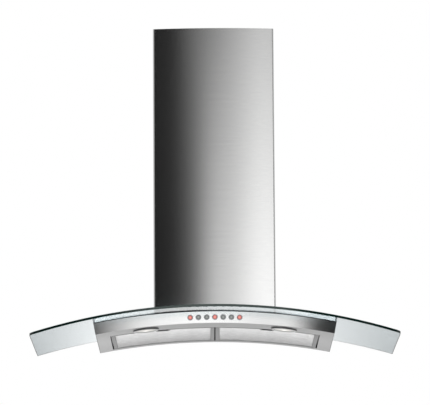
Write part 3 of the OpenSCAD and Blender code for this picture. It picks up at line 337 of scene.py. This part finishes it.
def fromAxis(tree, name):
    # distance from a lamp's upright axis in parts of its radius,
    # sqrt((|x| - centre)^2 + (y - centre)^2) / radius, which serves the left and the right lamp
    low, high = (np.array(corner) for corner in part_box(name))
    mirrored = addNode(tree, "ShaderNodeVectorMath", {0: objectPlace(tree)}, operation="ABSOLUTE")
    centred = addNode(tree, "ShaderNodeMapping", {"Vector": mirrored.outputs[0], "Location": (
        -(low[0] + high[0]) / 2, (low[1] + high[1]) / 2, 0)})
    flat = addNode(tree, "ShaderNodeVectorMath", {0: centred.outputs[0], 1: (1, 1, 0)}, operation="MULTIPLY")
    away = addNode(tree, "ShaderNodeVectorMath", {0: flat.outputs[0]}, operation="LENGTH")
    return calculate(tree, "DIVIDE", away.outputs["Value"], (high[0] - low[0]) / 2)


def bezelRing():
    # satin chromed ring: soft grey shine, with painted shade in a darker band round its turned rim
    material, tree = newMaterial("satin chromed ring, painted shade at its rim")
    tone = ramp(tree, fromAxis(tree, "lamp_bezel_right"), [
        (bezel["rimAt"] - bezel["rimBlur"], toLinear(bezel["face"])),
        (bezel["rimAt"] + bezel["rimBlur"], toLinear(bezel["rim"]))])
    cloud = noise(tree, objectPlace(tree), bezel["cloudMm"])
    metal(tree, tone, spread(tree, cloud, bezel["roughness"] * (1 - bezel["roughnessDrift"]),
                             bezel["roughness"] * (1 + bezel["roughnessDrift"])))
    return material


def litLens():
    # pressed glass over a lit lamp: white over the bulb and dimmer to the rim, broken up by small prisms
    material, tree = newMaterial("frosted glass lens, lit")
    light = toLinear(lens["light"])
    glow = ramp(tree, fromAxis(tree, "lamp_lens_right"), [
        (lens["middleAt"], scaled(light, lens["middle"])),
        (lens["shoulderAt"], scaled(light, lens["shoulder"])),
        (1.0, scaled(light, lens["rim"]))])
    prisms = addNode(tree, "ShaderNodeTexVoronoi", {
        "Vector": objectPlace(tree), "Scale": 1000 / lens["prismMm"]})
    relief = addNode(tree, "ShaderNodeBump", {
        "Height": prisms.outputs["Distance"], "Strength": lens["bump"], "Distance": lens["reliefMm"] / 1000})
    shader = addNode(tree, "ShaderNodeBsdfPrincipled", {
        "Base Color": toLinear(lens["glass"]), "Roughness": lens["roughness"], "Normal": relief.outputs[0],
        "Emission Color": glow, "Emission Strength": lens["strength"]})
    addNode(tree, "ShaderNodeOutputMaterial", {"Surface": shader.outputs[0]})
    return material


dress(bezelRing(), "lamp_bezel_left", "lamp_bezel_right")
dress(litLens(), "lamp_lens_left", "lamp_lens_right")
print("lamps done")

cap = {"colour": "#8d8f91", "roughness": 0.35, "grainMm": 0.5, "bump": 0.05, "metallic": 0.7}  # satin grey
# window in the cap of a push button, in millimetres; depths are behind the front of the cap
window = {"radius": 4.8, "crownTop": 0.12, "crownEdge": 0.3, "back": 0.55, "hub": 0.02,
          "steps": 40, "rings": 7, "middleAt": 0.1, "rimAt": 0.95,
          "roughness": 0.22, "grainMm": 0.833, "bump": 0.06, "reliefMm": 0.2}
allButtons, litButtons = range(1, 8), (1, 4, 7)
red = {"middle": "#e89a8e", "rim": "#c4625c", "glow": 0.28}  # lit from behind
pale = {"middle": "#aeb0ad", "rim": "#7b7d7b", "glow": 0.0}  # unlit, milky grey; its darker rim is painted shade round the window's edge


def windowPlastic(name, centreX, centreZ, middle, rim, glow):
    # moulded polycarbonate, smooth and a little milky: lighter in the middle and darker to its rim, by the
    # distance from the button's axis, sqrt((x - centre)^2 + (z - centre)^2) / radius; a lit window's darker
    # rim is its dimmer glow, an unlit one's is painted shade
    material, tree = newMaterial(name)
    place = objectPlace(tree)
    centred = addNode(tree, "ShaderNodeMapping", {"Vector": place, "Location": (-centreX, 0, -centreZ)})
    flat = addNode(tree, "ShaderNodeVectorMath", {0: centred.outputs[0], 1: (1, 0, 1)}, operation="MULTIPLY")
    away = addNode(tree, "ShaderNodeVectorMath", {0: flat.outputs[0]}, operation="LENGTH")
    share = calculate(tree, "DIVIDE", away.outputs["Value"], window["radius"] / 1000)
    tone = ramp(tree, share, [(window["middleAt"], toLinear(middle)), (window["rimAt"], toLinear(rim))])
    relief = addNode(tree, "ShaderNodeBump", {
        "Height": noise(tree, place, window["grainMm"]), "Strength": window["bump"],
        "Distance": window["reliefMm"] / 1000})
    shader = addNode(tree, "ShaderNodeBsdfPrincipled", {
        "Base Color": tone, "Roughness": window["roughness"], "Normal": relief.outputs[0],
        "Emission Color": tone, "Emission Strength": glow})
    addNode(tree, "ShaderNodeOutputMaterial", {"Surface": shader.outputs[0]})
    return material


def buttonWindow(number):
    # a crowned disc turned about the button's axis,
    # y = front + crownTop + (crownEdge - crownTop) x (r / radius)^2, closed by a short wall and a flat back
    low, high = (np.array(corner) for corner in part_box("button_%d" % number))
    centreX, centreZ = (low[0] + high[0]) / 2, (low[2] + high[2]) / 2
    share = np.concatenate([np.linspace(0.0, 1.0, window["rings"])[1:], [1.0, window["hub"]]])
    behind = window["crownTop"] + (window["crownEdge"] - window["crownTop"]) * share ** 2
    behind[-2:] = window["back"]
    steps = window["steps"]
    angle = np.linspace(0, 2 * np.pi, steps, endpoint=False)
    radius = share[:, None] * window["radius"] / 1000
    wide = centreX + radius * np.cos(angle)
    tall = centreZ + radius * np.sin(angle)
    deep = np.broadcast_to(low[1] + behind[:, None] / 1000, wide.shape)
    points = np.stack([wide, deep, tall], axis=-1).reshape(-1, 3)
    faces = gridFaces(len(share), steps)[:, ::-1].tolist()
    faces.append(list(range(steps)))
    faces.append(list(range(len(points) - steps, len(points)))[::-1])
    lit = number in litButtons
    name = "red window, lit %d" % number if lit else "grey window %d" % number
    material = windowPlastic(name, centreX, centreZ, **(red if lit else pale))
    return newPiece("button_window_%d" % number, points, faces, "button_%d" % number, material,
                    smooth=True)


capSatin = mouldedSurface("satin chromed ABS cap", **cap)
for number in allButtons:
    dress(capSatin, "button_%d" % number)
    buttonWindow(number)
print("buttons done")

zinc = {"light": "#a9adb0", "dark": "#8c9093", "spangleMm": 9.0, "roughness": (0.304, 0.475)}


def galvanisedSheet():
    # hot-dip galvanised sheet: crystals of zinc a few millimetres across, each with its own tone and shine
    material, tree = newMaterial("galvanised sheet")
    crystals = addNode(tree, "ShaderNodeTexVoronoi", {
        "Vector": objectPlace(tree), "Scale": 1000 / zinc["spangleMm"]})
    value = addNode(tree, "ShaderNodeSeparateColor", {"Color": crystals.outputs["Color"]})
    tone = ramp(tree, value.outputs[0], [(0.0, toLinear(zinc["dark"])), (1.0, toLinear(zinc["light"]))])
    metal(tree, tone, spread(tree, value.outputs[1], *zinc["roughness"], ends=(0.0, 1.0)))
    return material


shaft = {"light": "#c4c6c8", "dark": "#b0b2b4", "roughness": 0.2}  # bright, with thin streaks of light
nylon = {"colour": "#1d1f21", "roughness": 0.5}  # even black with a soft sheen
enamel = {"colour": "#6d7174", "roughness": 0.4, "grainMm": 1.2, "bump": 0.08}  # mid grey, slightly uneven
gapShade = {"colour": "#1c1c1d", "roughness": 0.7, "gloss": 0.2}  # dull black: painted shade of the gap between the filters
plating = {"colour": "#b6b8b9", "roughness": 0.3, "grainMm": 0.5, "bump": 0.05, "metallic": 1.0}  # bright
bush = {"colour": "#dcdcd6", "roughness": 0.5}  # milky white
lacquer = {"colour": "#1f5a33", "roughness": 0.35, "grainMm": 1.5, "bump": 0.2}  # green with a fine relief
spun = {"colour": "#d5d6d7", "roughness": 0.22, "grainMm": 0.6, "bump": 0.04, "metallic": 1.0}  # near mirror
capsule = {"colour": "#f3efe2", "roughness": 0.3}  # warm white
dress(galvanisedSheet(), "upper_wall_bracket", "wall_bracket", "blower_box", "motor_bracket",
      "damper_flap_front", "damper_flap_rear")
dress(mouldedSurface("black glass-filled nylon", **nylon),
      "switch_housing", "lamp_transformer", "scroll_left", "scroll_right", "impeller", "outlet_collar",
      "terminal_box", "cable_gland", "chimney_stops")
dress(mouldedSurface("grey motor enamel", **enamel), "motor")
# the bar is dark as painted shade of the gap between the filters
dress(mouldedSurface("dark bar, painted shade of the gap between the filters", **gapShade), "centre_bar")
dress(brushedMetal("ground steel shaft", **shaft), "motor_shaft", "damper_pin")
dress(mouldedSurface("zinc plated screw", **plating),
      "bracket_screws", "glass_screws", "box_screws", "collar_screws", "scroll_screws")
dress(mouldedSurface("natural nylon", **bush), "glass_washers")
dress(mouldedSurface("green lacquered circuit board", **lacquer), "control_board")
dress(mouldedSurface("spun aluminium reflector", **spun),
      "lamp_holder_left", "lamp_holder_right", "capacitor")
dress(mouldedSurface("frosted halogen capsule", **capsule), "lamp_bulbs")
print("hidden parts done")

room = {"floorZ": -2.2, "floorHalf": 2.0, "floor": "#f4f4f3"}  # metres


def makeFloor():
    # a square floor that is left out from below, so that it hides nothing in a view of the underside
    half, z = room["floorHalf"], room["floorZ"]
    corners = [(-half, -half, z), (half, -half, z), (half, half, z), (-half, half, z)]
    mesh = bpy.data.meshes.new("floor")
    mesh.from_pydata(corners, [], [(0, 1, 2, 3)])
    floor = bpy.data.objects.new("floor", mesh)
    bpy.context.scene.collection.objects.link(floor)
    material, tree = newMaterial("pale matt floor")
    paint = addNode(tree, "ShaderNodeBsdfDiffuse", {"Color": toLinear(room["floor"])})
    nothing = addNode(tree, "ShaderNodeBsdfTransparent")
    shape = addNode(tree, "ShaderNodeNewGeometry")
    oneSided = addNode(tree, "ShaderNodeMixShader", {
        0: shape.outputs["Backfacing"], 1: paint.outputs[0], 2: nothing.outputs[0]})
    addNode(tree, "ShaderNodeOutputMaterial", {"Surface": oneSided.outputs[0]})
    mesh.materials.append(material)


# brightness of the room's walls by the angle round the hood in degrees, 0 to the front and positive to the
# right; below and above, by the height of the direction, the floor and the ceiling take over
studio = {"walls": [(-180, 0.5), (-150, 0.5), (-110, 0.8), (-60, 0.75), (-44, 0.6), (-36, 0.4), (-27, 0.0),
                    (32, 0.0), (45, 0.4), (60, 0.75), (110, 0.8), (150, 0.5), (180, 0.5)],
          "floor": 0.8, "floorEnds": (-0.85, -0.65), "ceiling": 2.0, "ceilingEnds": (0.75, 0.95),
          "backdrop": 1.0}


def lightStudio():
    # walls by the angle atan2(x, -y), then a smooth step of z to the floor and to the ceiling
    world = bpy.data.worlds.new("studio")
    bpy.context.scene.world = world
    world.use_nodes = True
    tree = world.node_tree
    tree.nodes.clear()
    toward = addNode(tree, "ShaderNodeTexCoord").outputs["Generated"]
    part = addNode(tree, "ShaderNodeSeparateXYZ", {"Vector": toward})
    turn = calculate(tree, "ARCTAN2", part.outputs["X"], calculate(tree, "MULTIPLY", part.outputs["Y"], -1.0))
    share = spread(tree, turn, 0.0, 1.0, (-math.pi, math.pi))
    walls = ramp(tree, share, [((angle + 180) / 360, grey(level)) for angle, level in studio["walls"]])
    aboveFloor, inCeiling = (spread(tree, part.outputs["Z"], 0.0, 1.0, studio[ends],
                                    interpolation_type="SMOOTHSTEP") for ends in ("floorEnds", "ceilingEnds"))
    lower = blend(tree, aboveFloor, grey(studio["floor"]), walls)
    full = blend(tree, inCeiling, lower, grey(studio["ceiling"]))
    # white behind the hood, also where the camera sees it through the glass, but not in a reflection
    path = addNode(tree, "ShaderNodeLightPath")
    bounces = calculate(tree, "ADD", path.outputs["Glossy Depth"], path.outputs["Diffuse Depth"])
    direct = calculate(tree, "LESS_THAN", bounces, 0.5)
    through = calculate(tree, "MULTIPLY", path.outputs["Is Transmission Ray"], direct)
    seen = calculate(tree, "MAXIMUM", path.outputs["Is Camera Ray"], through)
    final = blend(tree, seen, full, grey(studio["backdrop"]))
    backdrop = addNode(tree, "ShaderNodeBackground", {"Color": final, "Strength": 1.0})
    addNode(tree, "ShaderNodeOutputWorld", {"Surface": backdrop.outputs[0]})


# soft cards, each for the pieces that it names, with sizes in metres; a row holds the brightness from one
# end of the card to the other: one row for a card that is the same all the way up, or its bottom and top row
cards = {
    "chimney card": {
        "place": (0.0, -1.1, 0.45), "facing": 1, "size": (1.2, 1.5), "watts": 10,
        "rows": [[0, 0, 0, 0, 0.052, 0.751, 0.772, 1.141, 1.305, 1.029, 0.634],
                 [0, 0, 0, 0, 0.161, 0, 0.182, 0.225, 0.357, 0.056, 0]],
        "lights": ["chimney_lower", "chimney_upper"]},
    # its light also passes the glass that stands out over the fascia
    "fascia card": {
        "place": (0.0, -0.75, -0.2), "facing": 1, "size": (0.84, 0.8), "watts": 4, "throughGlass": True,
        "rows": [[0, 0, 0.36, 0.7, 0.8, 0.86, 0.86, 0.78, 0.68, 0.72, 0.03, 0, 0]],
        "lights": ["control_fascia", "glass_canopy", "lamp_bezel_left", "lamp_bezel_right"]},
    # seen only through the glass from just below it, on both sides of the chimney
    "glass strip card": {
        "place": (0.0, -0.34, -0.152), "facing": -1, "size": (0.588, 0.04), "watts": 0.074,
        "throughGlass": True, "mirrored": False,
        "rows": [[1.9, 1.1, 0, 0, 0, 0, 0.1, 0.75, 1.85]],
        "lights": ["glass_canopy"]},
    "underside card": {
        "place": (0.0, 0.25, -0.3), "facing": -1, "size": (1.2, 0.4), "watts": 4,
        "rows": [[0.05, 0.05, 0.1, 0.11, 0.12, 0.12, 0.13, 0.3, 0.45]],
        "lights": ["underside_panel", "filter_ledge", "centre_bar"] + [
            piece + side for side in ("_left", "_right")
            for piece in ("filter_frame", "filter_mesh", "filter_latch", "filter_screen", "lamp_bezel")]},
    "glass card": {
        "place": (0.0, 0.25, -0.3), "facing": -1, "size": (1.2, 0.4), "watts": 4,
        "rows": [[0, 0, 0, 0, 0, 0, 0, 0, 0], [0, 0, 0.253, 0.46, 0.582, 0.574, 0.395, 0, 0]],
        "lights": ["glass_canopy"]},
    "filter mesh card": {
        "place": (0.0, -0.52, -0.42), "facing": 1, "size": (1.2, 0.3), "watts": 4, "rows": [[2.6, 2.6]],
        "lights": ["filter_screen_left", "filter_screen_right"]},
    "button card": {
        "place": (0.0, -0.9, -0.45), "facing": 1, "size": (1.2, 0.6), "watts": 4, "rows": [[1.0, 1.0]],
        "lights": [piece % number for piece in ("button_%d", "button_window_%d") for number in allButtons]}}


def gradedCard(name, card):
    # an area light that faces along +Y or -Y; its brightness is the bottom row's ramp at its bottom edge, the
    # top row's ramp at its top edge, and (1 - v) x bottom + v x top at the part v of its height
    lamp = bpy.data.lights.new(name, "AREA")
    lamp.shape = "RECTANGLE"
    lamp.size, lamp.size_y = card["size"]
    lamp.energy = card["watts"]
    lamp.use_nodes = True
    tree = lamp.node_tree
    tree.nodes.clear()
    spot = addNode(tree, "ShaderNodeNewGeometry")
    share = addNode(tree, "ShaderNodeSeparateXYZ", {"Vector": spot.outputs["Parametric"]})
    bottom, top = (ramp(tree, share.outputs["X"], [
        (k / (len(levels) - 1), grey(level)) for k, level in enumerate(levels)])
        for levels in (card["rows"][0], card["rows"][-1]))
    mixed = blend(tree, share.outputs["Y"], bottom, top)
    glow = addNode(tree, "ShaderNodeEmission", {"Color": mixed, "Strength": 1.0})
    addNode(tree, "ShaderNodeOutputLight", {"Surface": glow.outputs[0]})
    light = bpy.data.objects.new(name, lamp)
    bpy.context.scene.collection.objects.link(light)
    light.location = card["place"]
    light.rotation_euler = Vector((0, card["facing"], 0)).to_track_quat("-Z", "Y").to_euler()
    light.visible_camera = False
    light.visible_transmission = card.get("throughGlass", False)
    light.visible_glossy = card.get("mirrored", True)
    group = bpy.data.collections.new(name + " receivers")
    for receiver in card["lights"]:
        group.objects.link(nodes[receiver] if receiver in nodes else bpy.data.objects[receiver])
    light.light_linking.receiver_collection = group


makeFloor()
lightStudio()
for name, card in cards.items():
    gradedCard(name, card)
print("room and light done")

# place in metres, angles in radians, focal length in pixels of a picture of the given width
viewpoint = {"place": (-0.0106, -8.82646, -1.30792), "pitch": 0.16685, "yaw": -0.00148, "roll": -0.00613,
             "focalPx": 3510.3, "pictureWide": 430, "sensorMm": 36.0, "farthest": 200.0}


def makeCamera():
    # turned by roll about its own axis, then tipped up by pitch from level, then turned by yaw
    camera = bpy.data.objects.new("camera", bpy.data.cameras.new("camera"))
    bpy.context.scene.collection.objects.link(camera)
    camera.data.sensor_fit = "HORIZONTAL"
    camera.data.sensor_width = viewpoint["sensorMm"]
    camera.data.lens = viewpoint["sensorMm"] * viewpoint["focalPx"] / viewpoint["pictureWide"]
    camera.data.clip_end = viewpoint["farthest"]
    camera.location = viewpoint["place"]
    camera.rotation_mode = "XYZ"
    camera.rotation_euler = (Matrix.Rotation(viewpoint["yaw"], 3, "Z")
                             @ Matrix.Rotation(math.pi / 2 + viewpoint["pitch"], 3, "X")
                             @ Matrix.Rotation(viewpoint["roll"], 3, "Z")).to_euler()
    bpy.context.scene.camera = camera


makeCamera()
bpy.context.scene.view_settings.view_transform = "Standard"
print("camera done")

bpy.context.view_layer.update()
